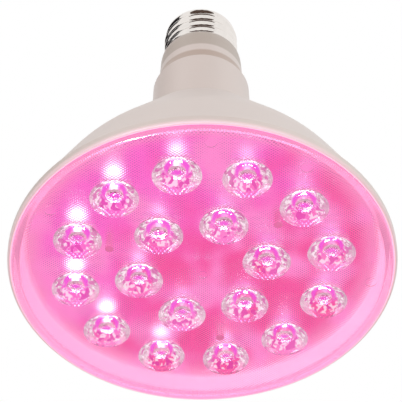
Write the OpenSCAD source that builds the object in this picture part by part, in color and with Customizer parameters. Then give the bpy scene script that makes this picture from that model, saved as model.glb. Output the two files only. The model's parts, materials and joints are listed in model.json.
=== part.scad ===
// Grow light bulb with a wide reflector shape: a white moulded bell on a screw base,
// closed by a clear moulded lens plate with a collimating lens over each LED.
// It stands on its front face, with the screw base up. Millimetres, +Z from face to base.

/* [Bell] */
// Widest diameter, over the rim band
rim_d = 121; // [112:0.5:130]
// Width of the lip that holds the lens plate
lip_w = 1.2; // [0.8:0.1:2]
// How far the lip stands behind the front face
lip_setback = 1.7; // [1.2:0.1:2.2]
// Rounding of the lip's outer corner
lip_round = 0.9; // [0.3:0.1:1.2]
// Height of the straight rim band, from the lip
rim_band_h = 2.6; // [2:0.1:3.5]
// Height of the flared wall above the rim band
flare_h = 57.7; // [50:0.1:70]
// Diameter at the flare's narrow end
flare_top_d = 49; // [44:0.5:54]
// Slope of the wall at the rim, from the axis
flare_rim_angle = 26.5; // [20:0.5:32]
// Slope of the wall at the narrow end, from the axis
flare_top_angle = 34.7; // [30:0.1:40]
// Thickness of the bell's wall, measured level
bell_wall = 1.7; // [1.2:0.1:2.2]
// Rounding of the shoulder above the flare
shoulder_round = 8; // [5:0.5:9]
// Slope of the shoulder, from the axis
shoulder_angle = 70; // [60:1:78]

/* [Neck] */
// Diameter of the neck at the shoulder
neck_d = 34.3; // [32:0.1:36]
// Diameter of the neck at its top
neck_top_d = 32.8; // [31:0.1:34]
// Length of the neck, from the flare's end
neck_h = 28.2; // [24:0.1:34]
// Fillet between shoulder and neck
neck_fillet = 4; // [2:0.1:4.5]
// Thickness of the neck's wall
neck_wall = 1.8; // [1.2:0.1:2.2]
// Diameter of the collar at its foot
collar_d = 29.4; // [28.4:0.1:31]
// Diameter of the collar where it starts to round in
collar_top_d = 28.4; // [27.6:0.1:29]
// Height of the cone between neck and collar
collar_cone_h = 4.6; // [3:0.1:6]
// Height of the collar's straight side
collar_h = 7.4; // [5:0.1:10]
// Height of the collar's rounded end
collar_nose_h = 5; // [3:0.1:7]

/* [Screw base] */
// Diameter over the thread's crests
thread_d = 26.2; // [26.05:0.05:26.45]
// Rise of the thread in one turn
thread_pitch = 3.629; // [3.5:0.001:3.8]
// Depth of the rolled thread
thread_depth = 0.9; // [0.7:0.05:1.1]
// Thickness of the sheet metal
shell_t = 0.35; // [0.25:0.05:0.45]
// Height of the plain edge under the thread
shell_skirt_h = 0.8; // [0.5:0.1:2]
// Height of the threaded wall
shell_thread_h = 12.5; // [11.5:0.1:14]
// Rounding of the shell's top
shell_round = 3.2; // [2.4:0.1:3.6]
// Diameter of the shell's top opening
shell_mouth_d = 18.8; // [17.6:0.1:19.6]
// Length of the moulded spigot inside the shell
spigot_h = 6; // [4:0.1:6.6]
// Height of the insulator's cone above the shell
insulator_h = 3.1; // [2.8:0.1:4.2]
// Diameter of the insulator's top
insulator_top_d = 12.6; // [11.4:0.1:14]
// Diameter of the base contact
contact_d = 9.8; // [8.4:0.1:10.8]
// Height of the base contact's button
contact_h = 2.4; // [1.6:0.1:3]
// Diameter of the contact's stem
contact_stem_d = 3.6; // [3:0.1:4.4]
// Length of the contact's stem
contact_stem_l = 9; // [8.6:0.1:10]

/* [Lens plate] */
// Thickness of the clear plate
plate_t = 2.6; // [2:0.1:3]
// Width of the plate's rounded edge
plate_edge_w = 2.6; // [1.8:0.1:3.2]
// Thickness of the skirt that seats in the lip
plate_skirt_t = 2; // [1.4:0.1:2.6]
// Height of the skirt inside the lip
plate_skirt_h = 2.9; // [2.2:0.1:3.4]
// Lenses in the outer ring
outer_lenses = 12; // [8:1:12]
// Lenses in the inner ring
inner_lenses = 6; // [3:1:6]
// Diameter of the outer ring's centre line
outer_ring_d = 80.8; // [78:0.2:84]
// Diameter of the inner ring's centre line
inner_ring_d = 40.4; // [38:0.2:42]
// Turn of the outer ring about the axis
outer_ring_turn = 19.5; // [0:0.5:30]
// Turn of the inner ring about the axis
inner_ring_turn = 49; // [0:0.5:60]
// Diameter of a lens at the plate
lens_d = 15; // [13:0.1:16]
// Diameter of a lens at its tip
lens_tip_d = 7.8; // [7:0.1:9]
// Depth of a lens behind the plate
lens_h = 5.8; // [5:0.1:6.2]
// Diameter of the pocket over the LED
lens_pocket_d = 5.6; // [5.2:0.1:6]
// Depth of the pocket over the LED
lens_pocket_h = 3.4; // [2.4:0.1:4.2]
// Rise of the small lens at the pocket's end
lens_pocket_bulge = 1.1; // [0.4:0.1:1.6]
// Posts that press on the LED board
board_posts = 3; // [3:1:3]
// Diameter of the posts' circle
post_ring_d = 60.5; // [58:0.5:62]
// Turn of the posts about the axis
post_turn = 79.5; // [70:0.5:90]
// Diameter of a post at its tip
post_d = 1.8; // [1.4:0.1:2.4]
// Diameter of the circle with the mould's round marks
eject_ring_d = 105.4; // [104:0.2:107]
// Diameter of a round mark
eject_d = 3.7; // [2:0.1:4]
// Diameter of the mark in the middle
gate_mark_d = 3; // [1:0.1:4]

/* [LED board] */
// Depth of the board's lit side behind the front face
board_z = 9.6; // [9.4:0.1:10.4]
// Thickness of the board
board_t = 1.6; // [1:0.1:2]
// Width of an LED's square body
led_w = 3.5; // [2.8:0.1:3.6]
// Height of an LED's body
led_h = 0.7; // [0.5:0.1:0.9]
// Diameter of an LED's dome
led_dome_d = 2.8; // [2:0.1:2.8]
// Thickness of the heat pad behind the board
pad_t = 0.3; // [0.2:0.1:0.8]
// Thickness of the aluminium spreader
spreader_t = 2; // [1.5:0.1:3]
// Thickness of the aluminium cup's wall
cup_t = 1; // [0.8:0.1:1.4]
// Height of the cup's collar inside the neck
cup_collar_h = 6; // [4:0.5:10]

/* [Driver] */
// Thickness of the insulating sleeve
sleeve_t = 1; // [0.8:0.1:1.4]
// Width of the sleeve's foot
sleeve_foot_w = 3.2; // [2:0.1:6]
// Thickness of the driver's circuit board
driver_board_t = 1.6; // [1:0.1:1.6]
// How far the board's front lies behind the axis
driver_board_back = 3.4; // [3:0.1:4]
// Length of the driver's circuit board
driver_board_l = 70; // [68:0.5:72]
// Diameter of the insulated wires
wire_d = 1.3; // [1:0.1:1.5]

/* [Fits] */
// Gap between the lens plate and the lip
lip_gap = 0.1; // [0.05:0.05:0.2]
// Gap round the pieces inside the bell
inner_gap = 0.25; // [0.15:0.05:0.3]
// Gap between moulded and metal pieces in the base
base_gap = 0.2; // [0.1:0.05:0.3]
// Gap round a wire in its hole
wire_gap = 0.1; // [0.05:0.05:0.2]

/* [Hidden] */
$fn = 96;

// Directions of the round marks
eject_angles = [-150, -87, -54, 5.4];

// Levels along the axis
rim_top_z = lip_setback + rim_band_h;
ledge_z = lip_setback + plate_skirt_h;
flare_top_z = rim_top_z + flare_h;
neck_top_z = flare_top_z + neck_h;
collar_z = neck_top_z + collar_cone_h;
nose_z = collar_z + collar_h;
shell_z = nose_z + collar_nose_h;
thread_z = shell_z + shell_skirt_h;
thread_top_z = thread_z + shell_thread_h;
shell_top_z = thread_top_z + shell_round;
insulator_top_z = shell_top_z + insulator_h;
pad_z = board_z + board_t;
spreader_z = pad_z + pad_t;
cup_z = spreader_z + spreader_t;

// The flared wall is one cubic curve from the rim to the shoulder
rim_r = rim_d / 2;
rim_edge = 0.3;
flare_steps = 32;
flare_reach = norm([rim_r - flare_top_d / 2, flare_h]);
rim_pull = 0.56 * flare_reach;
top_pull = 0.79 * flare_reach;
function heading(angle) = [-sin(angle), cos(angle)];
function cubic(a, b, c, d, t) =
  pow(1 - t, 3) * a + 3 * pow(1 - t, 2) * t * b + 3 * (1 - t) * t * t * c + pow(t, 3) * d;
flare_a = [rim_r - rim_edge, rim_top_z];
flare_d = [flare_top_d / 2, flare_top_z];
flare = [for (i = [0:flare_steps])
  cubic(flare_a, flare_a + rim_pull * heading(flare_rim_angle),
    flare_d - top_pull * heading(flare_top_angle), flare_d, i / flare_steps)];
flare_by_z = [for (p = flare) [p[1], p[0]]];

// Points of an arc that starts at p with heading a and ends with heading b, both from the axis
function bend(p, radius, a, b, steps) =
  let (side = b > a ? 1 : -1)
  [for (i = [1:steps]) let (t = a + (b - a) * i / steps)
    p + side * radius * [cos(t) - cos(a), sin(t) - sin(a)]];
shoulder = bend(flare_d, shoulder_round, flare_top_angle, shoulder_angle, 6);
shoulder_end = shoulder[len(shoulder) - 1];
fillet_start_r = neck_d / 2 + neck_fillet * (1 - cos(shoulder_angle));
fillet_start = [fillet_start_r,
  shoulder_end[1] + (shoulder_end[0] - fillet_start_r) / tan(shoulder_angle)];
fillet = bend(fillet_start, neck_fillet, shoulder_angle, 0, 6);
neck_foot_z = fillet[len(fillet) - 1][1];
nose_steps = 6;
nose_end_r = thread_d / 2 + base_gap;
nose = [for (i = [0:nose_steps]) let (t = 90 * i / nose_steps)
  [nose_end_r + (collar_top_d / 2 - nose_end_r) * cos(t), nose_z + collar_nose_h * sin(t)]];

// Inner radii that the inside pieces follow
function bell_inner_r(z) = lookup(z, flare_by_z) - bell_wall;
neck_inner_r = neck_d / 2 - neck_wall;
neck_inner_top_r = neck_top_d / 2 - neck_wall;
neck_bore_z = flare_top_z + 3.4;
neck_bore_top_z = neck_top_z - 0.8;
function neck_bore_r(z) = neck_inner_r
  + (neck_inner_top_r - neck_inner_r) * (z - neck_bore_z) / (neck_bore_top_z - neck_bore_z);
collar_inner_r = collar_top_d / 2 - neck_wall;
lip_bore_r = rim_r - lip_w;
plate_r = lip_bore_r - lip_gap;
face_r = plate_r - plate_edge_w;
plate_skirt_r = plate_r - plate_skirt_t;
board_r = bell_inner_r(pad_z) - 2 * inner_gap;
spreader_r = bell_inner_r(cup_z) - 2 * inner_gap;
wire_pitch = 3.2;
wire_r = wire_d / 2;
wire_hole_r = wire_r + wire_gap;
spreader_hole_r = wire_pitch / 2 + wire_r + 0.75;
cup_top_z = flare_top_z - 2.5;
cup_collar_z = flare_top_z + 2.2;
cup_collar_r = neck_bore_r(cup_collar_z + cup_collar_h) - inner_gap;
sleeve_top_z = neck_top_z - 1.5;
sleeve_r = min(cup_collar_r - cup_t, neck_bore_r(sleeve_top_z)) - inner_gap;
sleeve_inner_r = sleeve_r - sleeve_t;
spigot_r = thread_d / 2 - thread_depth - shell_t - base_gap;
spigot_wall = 1.6;
shell_mouth_r = shell_mouth_d / 2;

// Lens and LED places
outer_places = [for (i = [0:outer_lenses - 1]) [outer_ring_d / 2, outer_ring_turn + i * 360 / outer_lenses]];
inner_places = [for (i = [0:inner_lenses - 1]) [inner_ring_d / 2, inner_ring_turn + i * 360 / inner_lenses]];
led_places = concat(outer_places, inner_places);
module at_places(places) {
  for (p = places) rotate([0, 0, p[1]]) translate([p[0], 0, 0]) children();
}

// The collimator's side swells towards the plate, as a total reflection lens does
lens_steps = 7;
lens_swell = 0.62;
lens_side = [for (i = [0:lens_steps]) let (t = i / lens_steps)
  [lens_tip_d / 2 + (lens_d / 2 - lens_tip_d / 2) * pow(t, lens_swell), plate_t + lens_h * (1 - t)]];
pocket_steps = 5;
pocket_r = lens_pocket_d / 2;
pocket_z = plate_t + lens_h - lens_pocket_h;

module collimator() {
  rotate_extrude()
    polygon(concat([[0, plate_t / 2], [0, plate_t + lens_h]], lens_side, [[lens_d / 2, plate_t / 2]]));
}

module led_pocket() {
  bulge = [for (i = [0:pocket_steps]) let (t = i / pocket_steps)
    [pocket_r * t, pocket_z + lens_pocket_bulge * (1 - t * t)]];
  rotate_extrude() polygon(concat(bulge, [[pocket_r, plate_t + lens_h + 1], [0, plate_t + lens_h + 1]]));
}

module plate_disc() {
  edge_steps = 8;
  edge_h = lip_setback;
  edge = [for (i = [0:edge_steps]) let (t = 90 * i / edge_steps)
    [face_r + plate_edge_w * sin(t), edge_h * (1 - cos(t))]];
  rotate_extrude() polygon(concat([[0, 0]], edge, [[plate_r, ledge_z], [plate_skirt_r, ledge_z],
    [plate_skirt_r - 0.6, plate_t], [0, plate_t]]));
}

// Shallow round marks left by the mould: four on the back, one in the middle of the front
eject_places = [for (a = eject_angles) [eject_ring_d / 2, a]];
module mould_marks() {
  at_places(eject_places) translate([0, 0, plate_t - 0.2]) cylinder(h = 1, r = eject_d / 2, $fn = 48);
  translate([0, 0, -1]) cylinder(h = 1.25, r = gate_mark_d / 2, $fn = 48);
}

module board_post() {
  tip_z = board_z - base_gap;
  translate([0, 0, plate_t / 2]) cylinder(h = tip_z - plate_t / 2, r1 = 0.75 * post_d, r2 = post_d / 2);
}

// Clear moulding with the collimators and the board posts in one piece
module lens_plate() {
  color([1, 0.62, 0.85, 0.5]) difference() {
    union() {
      plate_disc();
      at_places(led_places) collimator();
      at_places([for (i = [0:board_posts - 1]) [post_ring_d / 2, post_turn + i * 360 / board_posts]]) board_post();
    }
    at_places(led_places) led_pocket();
    mould_marks();
  }
}

// White moulded bell, shoulder, neck and collar in one piece, with the spigot for the shell
module housing() {
  lip_steps = 5;
  lip = [for (i = [0:lip_steps]) let (t = 90 * i / lip_steps)
    [rim_r - lip_round * (1 - sin(t)), lip_setback + lip_round * (1 - cos(t))]];
  outside = concat([[lip_bore_r, lip_setback]], lip, [[rim_r, rim_top_z]], flare, shoulder,
    [fillet_start], fillet, [[neck_top_d / 2 + 0.15, neck_top_z - 0.6], [neck_top_d / 2 - 0.2, neck_top_z]],
    [[collar_d / 2, collar_z]], nose, [[spigot_r, shell_z], [spigot_r, shell_z + spigot_h]]);
  flare_inside = [for (p = flare) if (p[1] > ledge_z && p[1] < flare_top_z - 1) [p[0] - bell_wall, p[1]]];
  inside_up = concat([[lip_bore_r, ledge_z], [bell_inner_r(ledge_z), ledge_z]], flare_inside,
    [[neck_inner_r, neck_bore_z], [neck_inner_top_r, neck_bore_top_z], [collar_inner_r, collar_z - 0.8],
    [collar_inner_r, nose_z], [spigot_r - spigot_wall, shell_z - 0.8], [spigot_r - spigot_wall, shell_z + spigot_h]]);
  inside = [for (i = [len(inside_up) - 1:-1:0]) inside_up[i]];
  color([0.93, 0.91, 0.89]) rotate_extrude() polygon(concat(outside, inside));
}

// Aluminium-cored board with white solder mask
module led_board() {
  color([0.95, 0.95, 0.93]) difference() {
    translate([0, 0, board_z]) cylinder(h = board_t, r = board_r);
    for (x = [-1, 1]) translate([x * wire_pitch / 2, 0, board_z - 1]) cylinder(h = board_t + 2, r = wire_hole_r, $fn = 32);
  }
}

// Square LED bodies, soldered to the board
module led_bodies() {
  color([0.98, 0.9, 0.6]) at_places(led_places)
    translate([-led_w / 2, -led_w / 2, board_z - led_h]) cube([led_w, led_w, led_h]);
}

// Clear silicone domes on the LED bodies
module led_domes() {
  dome_r = led_dome_d / 2;
  color([1, 0.3, 0.75]) at_places(led_places) translate([0, 0, board_z - led_h]) intersection() {
    sphere(r = dome_r, $fn = 48);
    translate([-dome_r, -dome_r, -dome_r]) cube([2 * dome_r, 2 * dome_r, dome_r]);
  }
}

// Soft heat pad between board and spreader
module thermal_pad() {
  color([0.6, 0.62, 0.65]) translate([0, 0, pad_z]) difference() {
    cylinder(h = pad_t, r = spreader_r);
    translate([0, 0, -1]) cylinder(h = pad_t + 2, r = spreader_hole_r);
  }
}

// Pressed aluminium disc that carries the LED board's heat to the cup
module heat_spreader() {
  color([0.75, 0.76, 0.78]) translate([0, 0, spreader_z]) difference() {
    cylinder(h = spreader_t, r = spreader_r);
    translate([0, 0, -1]) cylinder(h = spreader_t + 2, r = spreader_hole_r);
  }
}

// Spun aluminium cup that lines the bell, with a collar in the neck
module heat_cup() {
  shift = bell_wall + inner_gap;
  side = [for (p = flare) if (p[1] > cup_z + 1 && p[1] < cup_top_z) [p[0] - shift, p[1]]];
  side_out = concat([[bell_inner_r(cup_z) - inner_gap, cup_z]], side,
    [[cup_collar_r, cup_collar_z], [cup_collar_r, cup_collar_z + cup_collar_h]]);
  side_in = [for (i = [len(side_out) - 1:-1:0]) let (p = side_out[i], in_neck = i > len(side_out) - 3)
    [p[0] - (in_neck ? cup_t : 1.2 * cup_t), i == len(side_out) - 2 ? p[1] - cup_t : p[1]]];
  color([0.78, 0.79, 0.8]) rotate_extrude() polygon(concat(side_out, side_in));
}

// Moulded tube that keeps the driver away from the metal
module driver_sleeve() {
  foot_r = sleeve_r + sleeve_foot_w;
  color([0.96, 0.96, 0.95]) translate([0, 0, cup_z]) difference() {
    union() {
      cylinder(h = sleeve_top_z - cup_z, r = sleeve_r);
      cylinder(h = sleeve_t, r = foot_r);
    }
    translate([0, 0, -1]) cylinder(h = sleeve_top_z - cup_z + 2, r = sleeve_inner_r);
  }
}

// Places on the driver's board: x across it, z up from its lower end
driver_front_y = -driver_board_back;
driver_back_y = driver_front_y - driver_board_t;
driver_board_w = 2 * (sqrt(pow(sleeve_inner_r, 2) - pow(driver_back_y, 2)) - base_gap);
driver_z = cup_z + 2;
// The circuit's pieces are drawn for a bore of 12.7 and a board of 70, and follow the real ones
driver_unit = min(sleeve_inner_r / 12.7, driver_board_l / 70, driver_board_back / 3.4);
module on_front(x, z) {
  translate([x * driver_unit, driver_front_y, driver_z + z * driver_unit]) rotate([-90, 0, 0]) fitted() children();
}
module on_back(x, z) {
  translate([x * driver_unit, driver_back_y, driver_z + z * driver_unit]) rotate([90, 0, 0]) fitted() children();
}
module fitted() {
  if (abs(driver_unit - 1) < 0.001) children();
  else scale([driver_unit, driver_unit, driver_unit]) children();
}
module block(size) {
  translate([-size[0] / 2, -size[1] / 2, 0]) cube(size);
}

// Glass-fibre board with the driver's circuit
module driver_board() {
  color([0.13, 0.42, 0.22]) translate([-driver_board_w / 2, driver_back_y, driver_z])
    cube([driver_board_w, driver_board_t, driver_board_l]);
}

// Resistor that opens when the driver fails, standing on the board
module fuse_resistor() {
  body_r = 1.9;
  color([0.25, 0.55, 0.45]) on_front(-5.5, 64) {
    translate([-3.25, 0, body_r]) rotate([0, 90, 0]) cylinder(h = 6.5, r = body_r, $fn = 32);
    translate([-4.2, 0, body_r]) rotate([0, 90, 0]) cylinder(h = 8.4, r = 0.3, $fn = 24);
    for (side = [-1, 1]) translate([side * 4.2, 0, 0]) cylinder(h = body_r + 0.45, r = 0.4, $fn = 24);
  }
}

// Disc that clips surges
module varistor() {
  color([0.15, 0.35, 0.7]) on_front(5.5, 64) rotate([90, 0, 0]) translate([0, 3.75, -1.6]) cylinder(h = 3.2, r = 3.75, $fn = 48);
}

// Boxed film capacitor across the supply
module film_capacitor() {
  color([0.8, 0.65, 0.2]) on_front(5, 55) block([10, 5, 8]);
}

// Four diodes in one moulding
module bridge_rectifier() {
  color([0.12, 0.12, 0.13]) on_front(-6, 55) block([6.4, 8.2, 3.2]);
}

// Electrolytic can after the rectifier, with its vent groove
module input_capacitor() {
  color([0.12, 0.14, 0.2]) on_front(0, 42.5) rotate_extrude($fn = 64)
    polygon([[0, 0], [4.6, 0], [5, 0.5], [5, 1.2], [4.75, 1.6], [5, 2], [5, 12.2], [4.7, 12.5], [0, 12.5]]);
}

// Ferrite drum and its winding
choke_place = [0, 31];
module choke_core() {
  color([0.3, 0.3, 0.32]) on_front(choke_place[0], choke_place[1]) rotate_extrude($fn = 48)
    polygon([[0, 0], [4, 0], [4, 1.2], [2, 1.2], [2, 8.8], [4, 8.8], [4, 10], [0, 10]]);
}
module choke_winding() {
  color([0.72, 0.38, 0.16]) on_front(choke_place[0], choke_place[1]) translate([0, 0, 1.2]) difference() {
    cylinder(h = 7.6, r = 3.6, $fn = 48);
    translate([0, 0, -1]) cylinder(h = 10, r = 2, $fn = 48);
  }
}

// Transformer: ferrite frame round a wound bobbin
transformer_place = [0, 17.5];
core_w = 13;
core_h = 12;
core_t = 6;
core_limb = 2.6;
core_mid = 3.6;
module transformer_core() {
  window_w = (core_w - 2 * core_limb - core_mid) / 2;
  color([0.22, 0.22, 0.24]) on_front(transformer_place[0], transformer_place[1]) difference() {
    block([core_w, core_t, core_h]);
    for (side = [-1, 1]) translate([side * (core_mid + window_w) / 2, 0, core_limb])
      block([window_w, core_t + 2, core_h - 2 * core_limb]);
  }
}
module transformer_bobbin() {
  window_h = core_h - 2 * core_limb;
  color([0.1, 0.1, 0.1]) on_front(transformer_place[0], transformer_place[1]) translate([0, 0, core_limb]) difference() {
    union() {
      block([core_mid + 1.2, core_t + 1.4, window_h]);
      block([core_w - 2 * core_limb - 0.2, core_t + 5, 0.7]);
      translate([0, 0, window_h - 0.7]) block([core_w - 2 * core_limb - 0.2, core_t + 5, 0.7]);
    }
    translate([0, 0, -1]) block([core_mid, core_t, window_h + 2]);
  }
}
module transformer_winding() {
  window_h = core_h - 2 * core_limb - 1.4;
  color([0.85, 0.7, 0.2]) on_front(transformer_place[0], transformer_place[1])
    translate([0, 0, core_limb + 0.7]) difference() {
      block([core_w - 2 * core_limb - 0.6, core_t + 4, window_h]);
      translate([0, 0, -1]) block([core_mid + 1.2, core_t + 1.4, window_h + 2]);
    }
}

// Electrolytic can at the driver's output
module output_capacitor() {
  color([0.1, 0.3, 0.25]) on_front(-7, 5) rotate_extrude($fn = 48)
    polygon([[0, 0], [3.8, 0], [4, 0.4], [4, 1], [3.8, 1.3], [4, 1.6], [4, 8.8], [3.8, 9], [0, 9]]);
}

// Switching controller, moulded, with its two rows of legs
module controller_chip() {
  color([0.1, 0.1, 0.1]) on_back(0, 38) {
    translate([0, 0, 0.1]) block([4, 5, 1.5]);
    for (side = [-1, 1], i = [-1.5:1:1.5]) translate([side * 2.5, i * 1.27, 0]) block([1.2, 0.4, 0.4]);
  }
}

// Diode that feeds the LEDs
module output_diode() {
  color([0.15, 0.15, 0.15]) on_back(4, 18) block([2.7, 4.4, 2.2]);
}

// Chip resistors round the controller
module chip_resistors() {
  color([0.05, 0.05, 0.05]) for (p = [[-6, 30], [-6, 34], [-6, 38], [6, 44]]) on_back(p[0], p[1]) block([1.6, 3.2, 0.6]);
}

// A bent wire: straight runs with a slightly swollen bend between them
bend_swell = 0.1;
module wire_run(points, radius) {
  for (i = [0:len(points) - 2]) {
    step = points[i + 1] - points[i];
    translate(points[i]) rotate([0, acos(step[2] / norm(step)), atan2(step[1], step[0])])
      cylinder(h = norm(step), r = radius, $fn = 24);
    if (i > 0) translate(points[i]) sphere(r = radius + bend_swell, $fn = 24);
  }
}

driver_top_z = driver_z + driver_board_l;
stem_end_z = insulator_top_z - contact_stem_l;
wire_front_y = driver_front_y + wire_r + bend_swell;
base_run = stem_end_z - driver_top_z;
module live_wire() {
  color([0.85, 0.15, 0.1]) wire_run([[3, wire_front_y, driver_top_z - 4], [3, wire_front_y, driver_top_z + 0.15 * base_run],
    [0, 0, driver_top_z + 0.45 * base_run], [0, 0, stem_end_z]], wire_r);
}

// Bared end passes over the spigot and ends against a trough of the shell
module neutral_wire() {
  end_r = thread_d / 2 - thread_depth - shell_t - 0.05;
  over_z = thread_z + 2 * thread_pitch;
  color([0.12, 0.12, 0.12]) wire_run([[-3, wire_front_y, driver_top_z - 4], [-3, wire_front_y, driver_top_z + 0.15 * base_run],
    [-5, 0, driver_top_z + 0.4 * base_run], [-7.5, 0, over_z - 4], [-9, 0, over_z], [-end_r, 0, over_z]], wire_r);
}

module output_wire(side) {
  x = side * wire_pitch / 2;
  wire_run([[x, wire_front_y, driver_z + 5], [x, wire_front_y, driver_z + 1.5], [x, 0, cup_z + 0.9],
    [x, 0, board_z]], wire_r);
}
module output_wire_red() {
  color([0.85, 0.1, 0.1]) output_wire(1);
}
module output_wire_black() {
  color([0.1, 0.1, 0.1]) output_wire(-1);
}

// Solder on the lit side, over the ends of the output wires
module solder_joints() {
  joint_r = wire_hole_r + 0.35;
  color([0.8, 0.8, 0.82]) for (side = [-1, 1]) translate([side * wire_pitch / 2, 0, board_z]) rotate_extrude($fn = 32)
    polygon([[0, 0], [joint_r, 0], [joint_r * 0.85, -0.3], [joint_r * 0.5, -0.55], [0, -0.65]]);
}

// Rolled screw shell: one closed skin of sheet metal with a round-crested thread.
// A station is [radius, level, share of the thread's wave]; the inner skin is the same, set back by the sheet.
shell_sides = 40;
thread_steps = 6;
thread_rows = ceil(shell_thread_h / thread_pitch * thread_steps);
wave_r = thread_d / 2 - thread_depth / 2;
function wave_share(z) = min(1, (z - thread_z) / 1.2, (thread_top_z - z) / 1.2);
shell_stations = concat(
  [[wave_r + thread_depth / 2, shell_z, 0]],
  [for (i = [0:thread_rows]) let (z = thread_z + shell_thread_h * i / thread_rows)
    [wave_r + (i == 0 ? thread_depth / 2 : 0), z, max(0, wave_share(z))]],
  [for (i = [1:5]) let (t = 90 * i / 5)
    [shell_mouth_r + (wave_r - shell_mouth_r) * cos(t), thread_top_z + shell_round * sin(t), 0]]);
function inset(i) = i > thread_rows + 1
  ? let (t = 90 * (i - thread_rows - 1) / 5) [shell_t * cos(t), shell_t * sin(t)]
  : [shell_t, 0];
function shell_point(i, angle, inner) =
  let (s = shell_stations[i],
    wave = s[2] * thread_depth / 2 * cos(360 * (s[1] - thread_z) / thread_pitch - angle),
    cut = inner ? inset(i) : [0, 0],
    r = s[0] + wave - cut[0])
  [r * cos(angle), r * sin(angle), s[1] - cut[1]];
module screw_shell() {
  n = shell_sides;
  m = len(shell_stations);
  rows = concat([for (i = [0:m - 1]) [i, false]], [for (i = [m - 1:-1:0]) [i, true]]);
  points = [for (row = rows, k = [0:n - 1]) shell_point(row[0], 360 * k / n, row[1])];
  faces = [for (j = [0:2 * m - 1], k = [0:n - 1], half = [0, 1])
    let (next = (j + 1) % (2 * m), a = j * n + k, b = j * n + (k + 1) % n,
      c = next * n + (k + 1) % n, d = next * n + k)
    half == 0 ? [a, c, b] : [a, d, c]];
  color([0.78, 0.76, 0.74]) polyhedron(points, faces);
}

// Glass-filled insulator that the shell's top is rolled over
module contact_insulator() {
  seat_r = shell_mouth_r - base_gap;
  seat_round = shell_round - shell_t - base_gap;
  body_r = spigot_r;
  foot_z = thread_top_z - 1.2;
  start = acos(min(1, (body_r - shell_mouth_r) / seat_round));
  swell = [for (i = [0:5]) let (t = start + (90 - start) * i / 5)
    [shell_mouth_r + seat_round * cos(t), thread_top_z + seat_round * sin(t)]];
  color([0.08, 0.08, 0.09]) difference() {
    rotate_extrude() polygon(concat([[0, foot_z], [body_r - 1, foot_z], [body_r, foot_z + 1]], swell,
      [[seat_r, thread_top_z + seat_round], [seat_r, shell_top_z + 0.3],
      [insulator_top_d / 2, insulator_top_z], [0, insulator_top_z]]));
    translate([0, 0, foot_z - 1]) cylinder(h = insulator_top_z - foot_z + 2, r = contact_stem_d / 2 + wire_gap);
  }
}

// Nickel-plated brass contact with its stem
module centre_contact() {
  contact_r = contact_d / 2;
  stem_r = contact_stem_d / 2;
  color([0.85, 0.75, 0.5]) rotate_extrude() polygon(concat([[0, stem_end_z], [stem_r, stem_end_z],
    [stem_r, insulator_top_z], [contact_r - 0.3, insulator_top_z], [contact_r, insulator_top_z + 0.4]],
    [for (i = [0:5]) let (t = 90 * i / 5)
      [1.6 + (contact_r - 1.6) * cos(t), insulator_top_z + 0.8 + (contact_h - 0.8) * sin(t)]],
    [[0, insulator_top_z + contact_h]]));
}

lens_plate();
housing();
led_board();
led_bodies();
led_domes();
thermal_pad();
heat_spreader();
heat_cup();
driver_sleeve();
driver_board();
fuse_resistor();
varistor();
film_capacitor();
bridge_rectifier();
input_capacitor();
choke_core();
choke_winding();
transformer_core();
transformer_bobbin();
transformer_winding();
output_capacitor();
controller_chip();
output_diode();
chip_resistors();
live_wire();
neutral_wire();
output_wire_red();
output_wire_black();
solder_joints();
screw_shell();
contact_insulator();
centre_contact();
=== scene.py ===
"""Scene of a lit grow light bulb, seen from below its clear lens plate, on a white studio ground."""

import json
import logging
import math
from dataclasses import dataclass, field
from enum import Enum
from typing import Any, Callable

import bpy
from mathutils import Matrix, Vector

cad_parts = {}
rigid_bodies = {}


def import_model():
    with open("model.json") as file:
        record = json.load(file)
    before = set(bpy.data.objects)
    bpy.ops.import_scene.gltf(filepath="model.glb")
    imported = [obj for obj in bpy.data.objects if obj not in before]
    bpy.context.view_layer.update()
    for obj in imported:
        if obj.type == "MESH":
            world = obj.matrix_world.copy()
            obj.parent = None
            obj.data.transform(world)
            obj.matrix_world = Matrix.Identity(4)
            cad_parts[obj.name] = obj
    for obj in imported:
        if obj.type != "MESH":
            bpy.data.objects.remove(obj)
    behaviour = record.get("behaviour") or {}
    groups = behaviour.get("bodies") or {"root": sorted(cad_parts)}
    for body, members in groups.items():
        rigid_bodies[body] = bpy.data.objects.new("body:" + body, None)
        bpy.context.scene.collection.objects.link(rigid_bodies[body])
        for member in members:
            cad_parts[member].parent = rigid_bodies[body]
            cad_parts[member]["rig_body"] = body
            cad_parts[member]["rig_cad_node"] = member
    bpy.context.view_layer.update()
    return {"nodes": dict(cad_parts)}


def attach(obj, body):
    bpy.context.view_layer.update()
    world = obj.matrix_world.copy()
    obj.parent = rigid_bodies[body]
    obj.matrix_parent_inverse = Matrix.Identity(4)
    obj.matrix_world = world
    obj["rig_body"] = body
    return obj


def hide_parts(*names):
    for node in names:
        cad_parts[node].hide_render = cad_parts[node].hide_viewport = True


logging.basicConfig(level=logging.INFO, format="%(levelname)s %(message)s")
LOG = logging.getLogger("grow_bulb")

MM = 0.001


class Projection(Enum):
    """Names of Blender's camera types used here."""

    PERSPECTIVE = "PERSP"


class Side(Enum):
    """Left and right, as signs along X."""

    LEFT = -1.0
    RIGHT = 1.0


def srgb(code: str) -> tuple[float, float, float, float]:
    """Turn an sRGB hex colour into a linear colour with alpha 1.

    Args:
        code: six hex digits, such as "f7a2c4".

    Returns:
        Linear red, green, blue and alpha.
    """
    values = [int(code[i : i + 2], 16) / 255 for i in (0, 2, 4)]
    linear = [v / 12.92 if v <= 0.04045 else ((v + 0.055) / 1.055) ** 2.4 for v in values]
    return (linear[0], linear[1], linear[2], 1.0)


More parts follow.
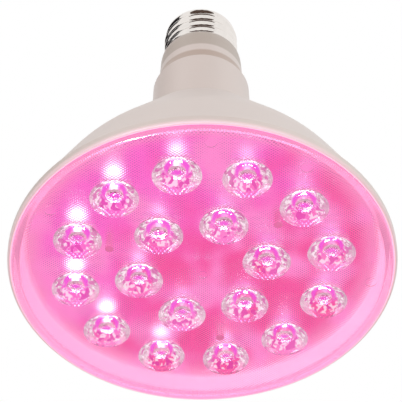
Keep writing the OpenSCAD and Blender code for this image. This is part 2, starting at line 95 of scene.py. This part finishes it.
class Graph:
    """A material's or world's node tree, with short ways to add nodes."""

    def __init__(self, tree: bpy.types.NodeTree) -> None:
        """Start from an empty tree.

        Args:
            tree: the node tree to fill.
        """
        tree.nodes.clear()
        self.tree = tree
        self._count = 0

    def add(self, kind: str, settings: dict[str, Any] | None = None, **inputs: Any) -> bpy.types.Node:
        """Add a node, set it up and link its inputs.

        Args:
            kind: Blender's node type name.
            settings: attributes of the node.
            **inputs: socket name with underscores for blanks, or i0, i1 for a place; a value or a socket.

        Returns:
            The new node.
        """
        node = self.tree.nodes.new(kind)
        node.location = (self._count % 8 * 180, -(self._count // 8) * 220)
        self._count += 1
        for name, value in (settings or {}).items():
            setattr(node, name, value)
        for name, value in inputs.items():
            place = int(name[1:]) if name[0] == "i" and name[1:].isdigit() else name.replace("_", " ")
            self.feed(node.inputs[place], value)
        return node

    def feed(self, socket: bpy.types.NodeSocket, value: Any) -> None:
        """Link a socket or set its constant.

        Args:
            socket: the input socket.
            value: an output socket or a constant.
        """
        if isinstance(value, bpy.types.NodeSocket):
            self.tree.links.new(value, socket)
        else:
            socket.default_value = value

    def math(self, operation: str, a: Any, b: Any = 0.0, clamp: bool = False) -> bpy.types.NodeSocket:
        """Add a math node.

        Args:
            operation: Blender's name of the operation.
            a: first value or socket.
            b: second value or socket.
            clamp: whether the result is kept between 0 and 1.

        Returns:
            The output socket.
        """
        node = self.add("ShaderNodeMath", {"operation": operation, "use_clamp": clamp}, i0=a, i1=b)
        return node.outputs[0]

    def ramp(self, value: Any, low: float, high: float, start: float = 0.0, end: float = 1.0) -> bpy.types.NodeSocket:
        """Map a value smoothly from one range to another.

        Args:
            value: the value's socket.
            low: where the ramp starts.
            high: where the ramp ends.
            start: result at and below low.
            end: result at and above high.

        Returns:
            The output socket.
        """
        settings = {"interpolation_type": "SMOOTHSTEP", "clamp": True}
        if low > high:
            low, high, start, end = high, low, end, start
        node = self.add("ShaderNodeMapRange", settings, i0=value, i1=low, i2=high, i3=start, i4=end)
        return node.outputs[0]

    def mix(self, factor: Any, a: Any, b: Any, blend: str = "MIX") -> bpy.types.NodeSocket:
        """Mix two colours.

        Args:
            factor: share of the second colour.
            a: first colour or socket.
            b: second colour or socket.
            blend: Blender's blend mode.

        Returns:
            The output socket.
        """
        node = self.add("ShaderNodeMix", {"data_type": "RGBA", "blend_type": blend})
        self.feed(node.inputs[0], factor)
        self.feed(node.inputs[6], a)
        self.feed(node.inputs[7], b)
        return node.outputs[2]

    def place_mm(self) -> bpy.types.NodeSocket:
        """Give the object coordinates in millimetres.

        Returns:
            The output socket of the scaled vector.
        """
        place = self.add("ShaderNodeTexCoord").outputs["Object"]
        scaled = self.add("ShaderNodeVectorMath", {"operation": "SCALE"}, i0=place)
        scaled.inputs["Scale"].default_value = 1 / MM
        return scaled.outputs[0]

    def split(self, vector: bpy.types.NodeSocket) -> list[bpy.types.NodeSocket]:
        """Split a vector into its parts.

        Args:
            vector: the vector's socket.

        Returns:
            Sockets of x, y and z.
        """
        return list(self.add("ShaderNodeSeparateXYZ", i0=vector).outputs)

    def noise(self, vector: Any, scale: float, detail: float = 2.0) -> bpy.types.NodeSocket:
        """Add a noise texture.

        Args:
            vector: coordinates.
            scale: cells per unit of the coordinates.
            detail: number of finer layers.

        Returns:
            The factor's socket.
        """
        return self.add("ShaderNodeTexNoise", Vector=vector, Scale=scale, Detail=detail).outputs[0]

    def radius(self, x: Any, y: Any) -> bpy.types.NodeSocket:
        """Distance from the axis.

        Args:
            x: socket of x.
            y: socket of y.

        Returns:
            The output socket.
        """
        squares = self.math("ADD", self.math("MULTIPLY", x, x), self.math("MULTIPLY", y, y))
        return self.math("SQRT", squares)

    def from_ring(self, x: Any, y: Any, ring: "Ring") -> bpy.types.NodeSocket:
        """Distance to the nearest of the places on a ring.

        Args:
            x: socket of x, in millimetres.
            y: socket of y, in millimetres.
            ring: the ring of places.

        Returns:
            The output socket.
        """
        r = self.radius(x, y)
        step = 2 * math.pi / ring.count
        angle = self.math("SUBTRACT", self.math("ARCTAN2", y, x), math.radians(ring.turn) - step / 2 - 4 * math.pi)
        off = self.math("SUBTRACT", self.math("MODULO", angle, step), step / 2)
        return self.radius(self.math("SUBTRACT", r, ring.radius), self.math("MULTIPLY", off, ring.radius))


@dataclass(frozen=True)
class Ring:
    """Evenly spaced places round the axis, in millimetres and degrees."""

    radius: float
    count: int
    turn: float


OUTER_LEDS = Ring(40.4, 12, 19.5)
INNER_LEDS = Ring(20.2, 6, 49.0)


class Finish:
    """Base of all finishes: a named material made once and shared."""

    name: str

    def shade(self, graph: Graph) -> bpy.types.NodeSocket:
        """Build the surface shader.

        Args:
            graph: the material's graph.

        Returns:
            The shader's socket.
        """
        raise NotImplementedError

    def material(self) -> bpy.types.Material:
        """Make the material, or fetch it when it exists.

        Returns:
            The material.
        """
        found = bpy.data.materials.get(self.name)
        if found and found.get("made_here"):
            return found
        made = bpy.data.materials.new(self.name)
        made.use_nodes = True
        made["made_here"] = True
        graph = Graph(made.node_tree)
        out = graph.add("ShaderNodeOutputMaterial")
        graph.tree.links.new(self.shade(graph), out.inputs["Surface"])
        self.adjust(made)
        return made

    def adjust(self, material: bpy.types.Material) -> None:
        """Set what isn't in the nodes.

        Args:
            material: the finished material.
        """


@dataclass(frozen=True)
class Plastic(Finish):
    """Moulded plastic with a faint unevenness of tone and gloss."""

    name: str
    color: str
    roughness: float = 0.45
    grain_and_glints: float = 0.04
    specular: float = 0.5

    def shade(self, graph: Graph) -> bpy.types.NodeSocket:
        """Build a plastic surface.

        Args:
            graph: the material's graph.

        Returns:
            The shader's socket.
        """
        place = graph.place_mm()
        cloud = graph.noise(place, 0.12)
        tone = graph.mix(cloud, srgb(self.color), tuple(0.9 * c for c in srgb(self.color)[:3]) + (1.0,))
        rough = graph.ramp(cloud, 0.3, 0.7, self.roughness - self.grain_and_glints, self.roughness + self.grain_and_glints)
        fine = graph.noise(place, 6.0, 3.0)
        bump = graph.add("ShaderNodeBump", Strength=0.04, Distance=0.02 * MM, Height=fine)
        shader = graph.add("ShaderNodeBsdfPrincipled", Base_Color=tone, Roughness=rough, Normal=bump.outputs[0])
        shader.inputs["Specular IOR Level"].default_value = self.specular
        return shader.outputs[0]


@dataclass(frozen=True)
class Metal(Finish):
    """Metal with turning marks round the axis."""

    name: str
    color: str
    roughness: float = 0.25
    marks: float = 0.05

    def shade(self, graph: Graph) -> bpy.types.NodeSocket:
        """Build a metal surface.

        Args:
            graph: the material's graph.

        Returns:
            The shader's socket.
        """
        place = graph.place_mm()
        streak = graph.noise(graph.add("ShaderNodeVectorMath", {"operation": "MULTIPLY"}, i0=place, i1=(0.05, 0.05, 4.0)).outputs[0], 1.0)
        rough = graph.ramp(streak, 0.3, 0.7, max(0.02, self.roughness - self.marks), self.roughness + self.marks)
        tone = graph.mix(graph.noise(place, 0.3), srgb(self.color), tuple(0.85 * c for c in srgb(self.color)[:3]) + (1.0,))
        shader = graph.add("ShaderNodeBsdfPrincipled", Base_Color=tone, Metallic=1.0, Roughness=rough)
        return shader.outputs[0]


@dataclass(frozen=True)
class HousingPlastic(Finish):
    """Satin white moulding that glows pink where the lit inside shows."""

    name: str = "Satin white PBT, lit inside"
    color: str = "ddd8d5"
    glow: str = "f689b6"
    glow_strength: float = 0.9

    def shade(self, graph: Graph) -> bpy.types.NodeSocket:
        """Build the housing's surface.

        Args:
            graph: the material's graph.

        Returns:
            The shader's socket.
        """
        place = graph.place_mm()
        x, y, z = graph.split(place)
        r = graph.radius(x, y)
        cloud = graph.noise(place, 0.06, 3.0)
        tone = graph.mix(cloud, srgb(self.color), tuple(0.94 * c for c in srgb(self.color)[:3]) + (1.0,))
        # Painted shade: the chamfer between about 90 and 96 mm is darkened brown all round.
        chamfer_shade = graph.math("MULTIPLY", graph.ramp(z, 90.2, 90.9), graph.ramp(z, 96.2, 94.6))
        tone = graph.mix(graph.math("MULTIPLY", chamfer_shade, 0.65), tone, srgb("a8917f"))
        tone = graph.mix(graph.math("MULTIPLY", graph.ramp(z, 98.6, 99.6), 0.65), tone, srgb("aba59b"))
        skin = graph.math("SUBTRACT", 59.75, graph.math("MULTIPLY", 0.47, graph.math("MAXIMUM", graph.math("SUBTRACT", z, 4.3), 0.0)))
        inside = graph.ramp(graph.math("SUBTRACT", skin, r), -0.2, 0.3)
        low = graph.ramp(z, 13.0, 10.5)
        lip = graph.math("MULTIPLY", graph.ramp(z, 3.2, 1.7), 0.2)
        mask = graph.math("MAXIMUM", graph.math("MULTIPLY", inside, low), lip)
        fine = graph.noise(place, 5.0, 3.0)
        bump = graph.add("ShaderNodeBump", Strength=0.05, Distance=0.02 * MM, Height=fine)
        shader = graph.add("ShaderNodeBsdfPrincipled", Base_Color=tone, Roughness=0.42, Normal=bump.outputs[0])
        shader.inputs["Emission Color"].default_value = srgb(self.glow)
        graph.feed(shader.inputs["Emission Strength"], graph.math("MULTIPLY", mask, self.glow_strength))
        return shader.outputs[0]

    def adjust(self, material: bpy.types.Material) -> None:
        """Leave the glow out of light sampling.

        Args:
            material: the finished material.
        """
        material.cycles.emission_sampling = "NONE"


@dataclass(frozen=True)
class LitBoard(Finish):
    """White solder mask, evenly lit pink by the LEDs around it."""

    name: str = "White solder mask, lit pink"
    middle: str = "f2489a"
    side: str = "fa66ce"
    edge: str = "f892c4"
    strength: float = 1.0
    flare_shift: float = 4.6
    flare_strength: float = 2.2

    def shade(self, graph: Graph) -> bpy.types.NodeSocket:
        """Build the board's surface.

        Args:
            graph: the material's graph.

        Returns:
            The shader's socket.
        """
        place = graph.place_mm()
        x, y, z = graph.split(place)
        r = graph.radius(x, y)
        drift = graph.math("SUBTRACT", graph.math("MULTIPLY", x, -0.008), graph.math("MULTIPLY", y, 0.006))
        cloud = graph.noise(place, 0.045, 1.5)
        to_side = graph.ramp(graph.math("ADD", cloud, drift), 0.4, 0.75)
        tone = graph.mix(to_side, srgb(self.middle), srgb(self.side))
        tone = graph.mix(graph.ramp(r, 46.0, 55.0), tone, srgb(self.edge))
        tone = graph.mix(graph.ramp(graph.noise(place, 0.08, 1.0), 0.45, 0.68), tone, srgb("ff8ed2"))
        # Painted reflections of the LEDs: a bright flare beside each one, at fixed places on the board, fading towards
        # +X.
        near = graph.math("ADD", y, self.flare_shift)
        fall = graph.ramp(x, -44.0, 26.0, 1.0, 0.12)
        outer = graph.ramp(graph.from_ring(x, near, OUTER_LEDS), 4.2, 0.6)
        inner = graph.ramp(graph.from_ring(x, near, INNER_LEDS), 3.6, 0.6, 0.0, 0.4)
        flare = graph.math("MULTIPLY", graph.math("MAXIMUM", outer, inner), fall)
        # A painted pool of violet LED light round each LED.
        close = graph.math("MINIMUM", graph.from_ring(x, y, OUTER_LEDS), graph.from_ring(x, y, INNER_LEDS))
        tone = graph.mix(graph.ramp(close, 5.5, 3.0, 0.0, 0.8), tone, srgb("f14be2"))
        tone = graph.mix(graph.math("MULTIPLY", flare, 1.4, clamp=True), tone, srgb("fff6fd"))
        power = graph.math("ADD", self.strength, graph.math("MULTIPLY", flare, self.flare_strength))
        return graph.add("ShaderNodeEmission", Color=tone, Strength=power).outputs[0]

    def adjust(self, material: bpy.types.Material) -> None:
        """Leave the glow out of light sampling.

        Args:
            material: the finished material.
        """
        material.cycles.emission_sampling = "NONE"


@dataclass(frozen=True)
class Glow(Finish):
    """Lit LED surface."""

    name: str
    color: str
    strength: float
    dim: str = "ee3cdc"

    def shade(self, graph: Graph) -> bpy.types.NodeSocket:
        """Build a lit surface, brightest towards the camera's left.

        Args:
            graph: the material's graph.

        Returns:
            The shader's socket.
        """
        place = graph.place_mm()
        x, y, z = graph.split(place)
        speck = graph.ramp(graph.noise(place, 0.9, 1.0), 0.41, 0.5)
        tone = graph.mix(speck, srgb(self.dim), srgb(self.color))
        power = graph.ramp(x, -38.0, 30.0, 1.5 * self.strength, 0.9 * self.strength)
        power = graph.math("ADD", 0.9, graph.math("MULTIPLY", power, speck))
        return graph.add("ShaderNodeEmission", Color=tone, Strength=power).outputs[0]

    def adjust(self, material: bpy.types.Material) -> None:
        """Leave the glow out of light sampling.

        Args:
            material: the finished material.
        """
        material.cycles.emission_sampling = "NONE"


@dataclass(frozen=True)
class ClearAcrylic(Finish):
    """Clear acrylic with a fine crossed prism texture on its back."""

    name: str = "Clear acrylic, prism textured back"
    tint: str = "fff0f8"
    pitch_mm: float = 0.75
    depth_mm: float = 0.05
    ior: float = 1.49
    painted_glow: str = "ff5cc0"
    painted_glow_strength: float = 0.025
    skirt_glow_color: str = "fa9ec8"
    post_glow_color: str = "e0719f"
    glint: float = 0.55

    def shade(self, graph: Graph) -> bpy.types.NodeSocket:
        """Build the clear plastic.

        Args:
            graph: the material's graph.

        Returns:
            The shader's socket.
        """
        place = graph.place_mm()
        x, y, z = graph.split(place)
        wave = 2 * math.pi / self.pitch_mm
        one = graph.math("SINE", graph.math("MULTIPLY", graph.math("ADD", x, graph.math("MULTIPLY", y, 1.3)), wave * 0.6))
        two = graph.math("SINE", graph.math("MULTIPLY", graph.math("SUBTRACT", x, graph.math("MULTIPLY", y, 1.3)), wave * 0.6))
        cells = graph.math("MULTIPLY", graph.math("ADD", one, two), 0.5)
        back = graph.ramp(z, 2.2, 2.5)
        flat = graph.ramp(z, 3.0, 2.7, 0.6, 1.0)
        aside = graph.math("MINIMUM", graph.from_ring(x, y, OUTER_LEDS), graph.from_ring(x, y, INNER_LEDS))
        lit = graph.math("ADD", y, 12.0)
        lit = graph.math("MINIMUM", graph.from_ring(x, lit, OUTER_LEDS), graph.from_ring(x, lit, INNER_LEDS))
        cells = graph.math("MULTIPLY", cells, graph.ramp(lit, 12.0, 7.0, 0.6, 1.0))
        height = graph.math("MULTIPLY", cells, graph.math("MULTIPLY", back, flat))
        bump = graph.add("ShaderNodeBump", Strength=1.0, Distance=self.depth_mm * MM, Height=height)
        shader = graph.add("ShaderNodeBsdfPrincipled", Base_Color=srgb(self.tint), Roughness=0.0, IOR=self.ior, Normal=bump.outputs[0])
        shader.inputs["Transmission Weight"].default_value = 1.0
        # A faint painted pink glow on all of the plastic.
        shader.inputs["Emission Color"].default_value = srgb(self.painted_glow)
        shader.inputs["Emission Strength"].default_value = self.painted_glow_strength
        r = graph.radius(x, y)
        # The skirt is partly a painted pink glow, varied along its moulded ridges.
        ridges = graph.math("SINE", graph.math("MULTIPLY", graph.math("ARCTAN2", y, x), 420.0))
        skirt = graph.math("MULTIPLY", graph.ramp(r, 55.9, 57.3), graph.math("ADD", 0.3, graph.math("MULTIPLY", ridges, 0.08)))
        # Where the posts stand, on a ring about 30 mm from the axis behind the face, the plastic is partly a painted
        # pink glow.
        ring = graph.ramp(graph.math("ABSOLUTE", graph.math("SUBTRACT", r, 30.25)), 1.8, 1.4)
        post = graph.math("MULTIPLY", graph.math("MULTIPLY", ring, graph.ramp(z, 2.62, 2.75)), 0.3)
        skirt_glow = graph.add("ShaderNodeEmission", Color=srgb(self.skirt_glow_color), Strength=1.0)
        post_glow = graph.add("ShaderNodeEmission", Color=srgb(self.post_glow_color), Strength=1.0)
        first = graph.add("ShaderNodeMixShader", i0=skirt, i1=shader.outputs[0], i2=skirt_glow.outputs[0])
        second = graph.add("ShaderNodeMixShader", i0=post, i1=first.outputs[0], i2=post_glow.outputs[0])
        # Painted glints and reflections on the collimator cones: white streaks and deep red specks, laid out on
        # coordinates stretched along the axis.
        grain_and_glints = graph.add("ShaderNodeVectorMath", {"operation": "MULTIPLY"}, i0=place, i1=(1.0, 1.0, 0.4)).outputs[0]
        white = graph.ramp(graph.noise(grain_and_glints, 0.8, 1.0), 0.5, 0.55)
        red = graph.math("MULTIPLY", graph.ramp(graph.noise(grain_and_glints, 0.62, 0.0), 0.55, 0.6), graph.ramp(aside, 3.6, 4.4))
        glint = graph.add("ShaderNodeEmission", Color=graph.mix(red, srgb("fffafe"), srgb("cc1c9c")), Strength=1.15)
        cones = graph.math("MULTIPLY", graph.ramp(z, 3.2, 3.8), graph.math("MULTIPLY", graph.ramp(aside, 6.5, 6.2), graph.ramp(aside, 3.2, 4.4)))
        share = graph.math("MULTIPLY", graph.math("MAXIMUM", white, red), graph.math("MULTIPLY", cones, self.glint))
        return graph.add("ShaderNodeMixShader", i0=share, i1=second.outputs[0], i2=glint.outputs[0]).outputs[0]

    def adjust(self, material: bpy.types.Material) -> None:
        """Leave the painted glow out of light sampling.

        Args:
            material: the finished material.
        """
        material.cycles.emission_sampling = "NONE"


def deselect() -> None:
    """Leave edit mode and select nothing."""
    if bpy.context.object and bpy.context.object.mode != "OBJECT":
        bpy.ops.object.mode_set(mode="OBJECT")
    bpy.ops.object.select_all(action="DESELECT")


def activate(piece: bpy.types.Object) -> None:
    """Select one piece alone and make it active.

    Args:
        piece: the piece.
    """
    deselect()
    piece.select_set(True)
    bpy.context.view_layer.objects.active = piece


def smooth(piece: bpy.types.Object, angle: float = 30.0) -> None:
    """Shade a piece smooth up to an angle.

    Args:
        piece: the piece.
        angle: largest smooth angle, in degrees.
    """
    activate(piece)
    bpy.ops.object.shade_smooth_by_angle(angle=math.radians(angle))


def paint(piece: bpy.types.Object, finish: Finish) -> None:
    """Give a piece one finish in place of what it had.

    Args:
        piece: the piece.
        finish: its finish.
    """
    if not piece.material_slots:
        piece.data.materials.append(None)
    for place in piece.material_slots:
        place.material = finish.material()
    LOG.info("%s: %s", piece.name, finish.name)


def refine(node: bpy.types.Object, name: str, angle: float, cuts: int = 0) -> bpy.types.Object:
    """Make a welded, smooth copy of a CAD node that takes its place.

    Args:
        node: the CAD node.
        name: the new piece's name.
        angle: largest smooth angle, in degrees.
        cuts: rounds of subdivision.

    Returns:
        The new piece.
    """
    activate(node)
    bpy.ops.object.duplicate()
    piece = bpy.context.object
    piece.name = name
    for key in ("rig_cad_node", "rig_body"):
        if key in piece:
            del piece[key]
    bpy.ops.object.mode_set(mode="EDIT")
    bpy.ops.mesh.select_all(action="SELECT")
    bpy.ops.mesh.remove_doubles(threshold=0.002 * MM)
    bpy.ops.mesh.customdata_custom_splitnormals_clear()
    bpy.ops.object.mode_set(mode="OBJECT")
    if cuts:
        bpy.ops.object.modifier_add(type="SUBSURF")
        modifier = piece.modifiers[-1]
        modifier.levels = modifier.render_levels = cuts
        bpy.ops.object.modifier_apply(modifier=modifier.name)
    smooth(piece, angle)
    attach(piece, "root")
    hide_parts(node.name)
    LOG.info("%s: %d faces", name, len(piece.data.polygons))
    return piece


class Assembly:
    """A group of pieces that are built and dressed together."""

    def __init__(self, nodes: dict[str, bpy.types.Object]) -> None:
        """Keep the CAD nodes.

        Args:
            nodes: CAD node objects by name.
        """
        self.nodes = nodes

    def build(self) -> None:
        """Model what the CAD nodes lack."""

    def dress(self) -> None:
        """Give each piece its finish."""


@dataclass
class PlateSizes:
    """Sizes of the lens plate, in millimetres."""

    led_z: float = 8.9
    board_z: float = 9.6


class LensPlate(Assembly):
    """The clear plate with its collimators."""

    sizes = PlateSizes()

    def build(self) -> None:
        """Weld the moulding so that light bends smoothly in it."""
        self.plate = refine(self.nodes["lens_plate"], "lens_plate_welded", 24.0)

    def dress(self) -> None:
        """Give the plate its clear finish."""
        paint(self.plate, ClearAcrylic())


class LedEngine(Assembly):
    """Board, LEDs, pad, spreader and cup."""

    def dress(self) -> None:
        """Give the lit pieces and the metal their finishes."""
        paint(self.nodes["led_board"], LitBoard())
        paint(self.nodes["led_bodies"], Glow("White LED resin, lit", "fff2fb", 22.0))
        paint(self.nodes["led_domes"], Glow("Clear silicone dome, lit", "f4a0f0", 2.2))
        paint(self.nodes["solder_joints"], Glow("Tin solder, lit pink", "f493cb", 0.15, "ee6cb4"))
        paint(self.nodes["thermal_pad"], Plastic("Grey silicone pad", "9a9ea6", 0.8))
        for name in ("heat_spreader", "heat_cup"):
            paint(self.nodes[name], Metal("Spun aluminium", "c4c6c9", 0.35))
        for name in ("led_bodies", "led_domes", "led_board", "solder_joints"):
            self.nodes[name].visible_diffuse = False


class Driver(Assembly):
    """Driver board with its parts, inside its sleeve."""

    looks: dict[str, Finish] = {
        "driver_sleeve": Plastic("White sleeve plastic", "f0f0ee", 0.5),
        "driver_board": Plastic("Green glass-fibre laminate", "2f6b3c", 0.4),
        "fuse_resistor": Plastic("Green resistor lacquer", "4c8c76", 0.35),
        "varistor": Plastic("Blue dipped epoxy", "2f5ca8", 0.25),
        "film_capacitor": Plastic("Yellow capacitor box", "d0a83c", 0.3),
        "bridge_rectifier": Plastic("Black epoxy moulding", "1c1c1e", 0.5),
        "input_capacitor": Plastic("Dark capacitor sleeve", "20263a", 0.25),
        "output_capacitor": Plastic("Dark capacitor sleeve", "20263a", 0.25),
        "choke_core": Plastic("Sintered ferrite", "3a3a3e", 0.7),
        "transformer_core": Plastic("Sintered ferrite", "3a3a3e", 0.7),
        "choke_winding": Metal("Enamelled copper wire", "b4663a", 0.35),
        "transformer_bobbin": Plastic("Black epoxy moulding", "1c1c1e", 0.5),
        "transformer_winding": Plastic("Yellow winding tape", "d8b23e", 0.3),
        "controller_chip": Plastic("Black epoxy moulding", "1c1c1e", 0.5),
        "output_diode": Plastic("Black epoxy moulding", "1c1c1e", 0.5),
        "chip_resistors": Plastic("Black epoxy moulding", "1c1c1e", 0.5),
        "live_wire": Plastic("Red silicone insulation", "b02420", 0.45),
        "output_wire_red": Plastic("Red silicone insulation", "b02420", 0.45),
        "neutral_wire": Plastic("Black silicone insulation", "1a1a1a", 0.45),
        "output_wire_black": Plastic("Black silicone insulation", "1a1a1a", 0.45),
    }

    def dress(self) -> None:
        """Give each part its finish."""
        for name, finish in self.looks.items():
            paint(self.nodes[name], finish)


class Housing(Assembly):
    """The white bell with neck and collar."""

    def dress(self) -> None:
        """Give the moulding its finish."""
        paint(self.nodes["housing"], HousingPlastic())


class ScrewBase(Assembly):
    """Screw shell, insulator and contact."""

    def build(self) -> None:
        """Round the rolled thread off more finely."""
        self.shell = refine(self.nodes["screw_shell"], "screw_shell_rolled", 60.0, 1)

    def dress(self) -> None:
        """Give the base its finishes."""
        paint(self.shell, Metal("Nickel plate", "f2ece7", 0.09, 0.03))
        paint(self.nodes["contact_insulator"], Plastic("Black vitreous glass", "141416", 0.12))
        paint(self.nodes["centre_contact"], Metal("Tinned brass", "cbbd9c", 0.25))


@dataclass(frozen=True)
class CameraPose:
    """The photo's camera, in millimetres and degrees."""

    lens: float = 160.556
    sensor: float = 36.0
    distance: float = 580.24
    elevation: float = -47.678
    roll: float = -0.412
    target: tuple[float, float, float] = (-0.315, 0.0, 34.07)


@dataclass(frozen=True)
class Lamp:
    """A soft area light aimed at the bulb."""

    name: str
    place: tuple[float, float, float]
    size: tuple[float, float]
    power: float
    color: str = "fff8f2"
    gloss_only: bool = False


def band(graph: Graph, value: Any, middle: float, half: float, soft: float) -> bpy.types.NodeSocket:
    """Mask a band of a value.

    Args:
        graph: the graph.
        value: the value's socket.
        middle: the band's middle.
        half: half the band's width.
        soft: width of its soft edge.

    Returns:
        The mask's socket.
    """
    return graph.ramp(graph.math("ABSOLUTE", graph.math("SUBTRACT", value, middle)), half, half - soft)


@dataclass(frozen=True)
class Card:
    """An upright studio card, in metres, turned about Z from facing along Y."""

    name: str
    centre: tuple[float, float, float]
    width: float
    height: float
    turn: float
    color: str


class Studio:
    """Camera, lights, world, cards and floor."""

    pose = CameraPose()
    floor_z = -1.3
    lamps = (
        Lamp("Key light", (0.16, -0.95, -0.25), (0.8, 0.6), 4.6, "fff2ee"),
        Lamp("Right strip", (0.75, -0.25, 0.3), (0.12, 0.9), 1.0, "fff0ea"),
        Lamp("Left strip", (-0.75, -0.25, 0.25), (0.2, 0.9), 1.3, "ffe2d8"),
        Lamp("Edge strip", (0.0, -0.4, -0.8), (1.6, 0.5), 22.0, "eec8ff", True),
        Lamp("Edge spot", (-0.36, -0.36, -0.72), (0.1, 0.4), 5.0, "ffffff", True),
    )
    cards = (
        Card("Brown card", (0.09, -0.8, 1.64), 1.06, 2.72, 0.0, "5a463c"),
        Card("Black card", (-0.7, 0.02, 0.7), 0.86, 1.0, 90.0, "0c0a0a"),
    )

    def camera(self) -> None:
        """Place the camera as in the photo."""
        pose = self.pose
        data = bpy.data.cameras.new("Photo camera")
        data.type = Projection.PERSPECTIVE.value
        data.lens = pose.lens
        data.sensor_width = pose.sensor
        data.sensor_fit = "HORIZONTAL"
        data.clip_start = 0.01
        data.clip_end = 20.0
        camera = bpy.data.objects.new("Photo camera", data)
        bpy.context.scene.collection.objects.link(camera)
        e, t = math.radians(-pose.elevation), math.radians(pose.roll)
        back = Vector((0.0, -math.cos(e), -math.sin(e)))
        right = Vector((1.0, 0.0, 0.0))
        up = Vector((0.0, -math.sin(e), math.cos(e)))
        rolled_right = math.cos(t) * right + math.sin(t) * up
        rolled_up = -math.sin(t) * right + math.cos(t) * up
        turn = Matrix((rolled_right, rolled_up, back)).transposed().to_4x4()
        place = (Vector(pose.target) + pose.distance * back) * MM
        camera.matrix_world = Matrix.Translation(place) @ turn
        bpy.context.scene.camera = camera
        LOG.info("camera at %s", tuple(round(v, 4) for v in place))

    def light(self) -> None:
        """Add the soft lights."""
        for lamp in self.lamps:
            data = bpy.data.lights.new(lamp.name, "AREA")
            data.shape = "RECTANGLE"
            data.size, data.size_y = lamp.size
            data.energy = lamp.power
            data.color = srgb(lamp.color)[:3]
            light = bpy.data.objects.new(lamp.name, data)
            light.location = lamp.place
            aim = Vector((0.0, 0.0, 0.08)) - Vector(lamp.place)
            light.rotation_mode = "QUATERNION"
            light.rotation_quaternion = aim.to_track_quat("-Z", "Y")
            bpy.context.scene.collection.objects.link(light)
            light.visible_camera = False
            light.visible_transmission = False
            light.visible_glossy = lamp.gloss_only
            light.visible_diffuse = not lamp.gloss_only
            LOG.info("light %s", lamp.name)

    def world(self) -> None:
        """Show a white ground to the eye, to metal and to glass, and give soft light to the rest."""
        world = bpy.data.worlds.new("Studio")
        world.use_nodes = True
        bpy.context.scene.world = world
        graph = Graph(world.node_tree)
        x, y, z = graph.split(graph.add("ShaderNodeTexCoord").outputs["Generated"])
        soft = graph.mix(graph.ramp(z, -0.35, 0.5), srgb("97908d"), srgb("c0bab7"))
        soft = graph.mix(graph.ramp(y, 0.05, 0.6), soft, srgb("f4f3f2"))
        path = graph.add("ShaderNodeLightPath").outputs
        shown = graph.math("MAXIMUM", path["Is Camera Ray"], path["Is Glossy Ray"])
        shown = graph.math("MAXIMUM", shown, path["Is Transmission Ray"])
        color = graph.mix(shown, soft, (1.0, 1.0, 1.0, 1.0))
        ground = graph.add("ShaderNodeBackground", Color=color, Strength=1.0)
        out = graph.add("ShaderNodeOutputWorld")
        graph.tree.links.new(ground.outputs[0], out.inputs["Surface"])

    def stand_cards(self) -> None:
        """Stand dark cards out of view, which only polished surfaces mirror."""
        for card in self.cards:
            deselect()
            bpy.ops.mesh.primitive_plane_add(size=1.0, location=(0.0, 0.0, 0.0))
            plane = bpy.context.object
            plane.name = card.name
            upright = Matrix.Rotation(math.radians(card.turn), 4, "Z") @ Matrix.Rotation(math.radians(90.0), 4, "X")
            stretch = Matrix.Diagonal((card.width, card.height, 1.0, 1.0))
            plane.data.transform(Matrix.Translation(card.centre) @ upright @ stretch)
            plane.visible_camera = False
            plane.visible_diffuse = False
            plane.visible_transmission = False
            plane.visible_shadow = False
            paint(plane, Plastic(f"Studio card {card.color}", card.color, 0.9))

    def floor(self) -> None:
        """Lay a plain pale floor far below the bulb."""
        deselect()
        bpy.ops.mesh.primitive_plane_add(size=12.0, location=(0.0, 0.0, 0.0))
        floor = bpy.context.object
        floor.name = "Studio floor"
        floor.data.transform(Matrix.Translation((0.0, 0.0, self.floor_z)))
        paint(floor, Plastic("Pale studio floor", "f4f4f4", 0.9))

    def set_up(self) -> None:
        """Set up everything round the bulb."""
        self.camera()
        self.light()
        self.world()
        self.floor()
        self.stand_cards()
        bpy.context.scene.view_settings.view_transform = "Standard"


def main() -> None:
    """Load the frame, build and dress each assembly and set up the studio."""
    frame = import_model()
    nodes = frame["nodes"]
    for assembly in (Housing, LensPlate, LedEngine, Driver, ScrewBase):
        part = assembly(nodes)
        part.build()
        part.dress()
        LOG.info("%s done", assembly.__name__)
    Studio().set_up()


if __name__ == "__main__":
    main()
